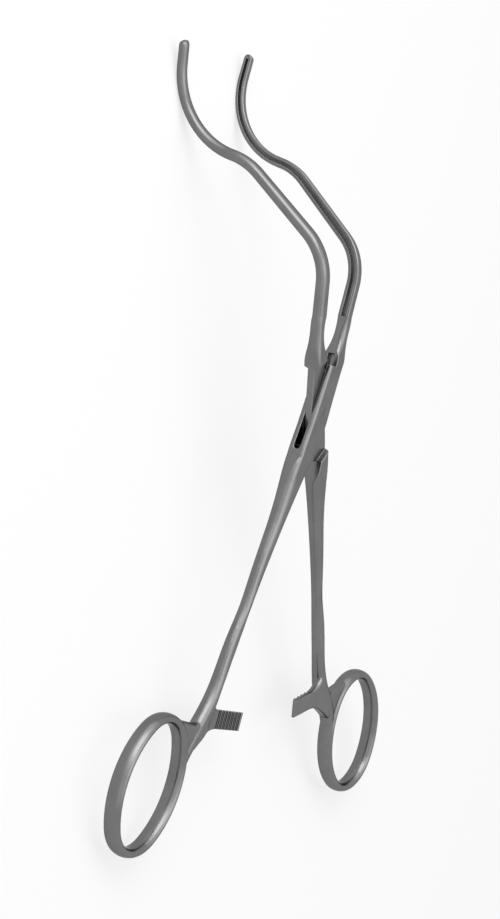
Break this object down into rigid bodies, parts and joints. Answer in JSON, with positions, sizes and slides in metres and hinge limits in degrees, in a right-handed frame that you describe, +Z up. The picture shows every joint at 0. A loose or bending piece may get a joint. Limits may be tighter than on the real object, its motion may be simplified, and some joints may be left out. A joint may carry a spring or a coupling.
{
  "type": "vascular clamp",
  "caption": "Vascular clamp with S-curved grooved jaws, box lock on a flush pivot pin, slim shanks, toothed ratchet arms and oval finger rings, in satin steel.",
  "frame": {"origin": "centre of the footprint on the table, under the clamp lying on its finger rings and jaw bellies", "axes": "+Y along the instrument from the rings to the jaw tips, +Z up with the pivot pin nearly upright, rings opened towards -X and +X"},
  "size_m": [0.1382, 0.2106, 0.0405],
  "materials": {
    "satin_steel": "satin",
    "pin_steel": "satin"
  },
  "bodies": {
    "box_side": {"box_half": "satin_steel", "pivot_pin": "pin_steel"},
    "blade_side": {"blade_half": "satin_steel"}
  },
  "joints": [
    {"name": "box_lock", "type": "hinge", "parent": "box_side", "child": "blade_side", "pos_m": [0, 0.00635, 0.03084], "axis": [0, 0.2268, -0.9739], "range_deg": [-4, 20.3]}
  ]
}
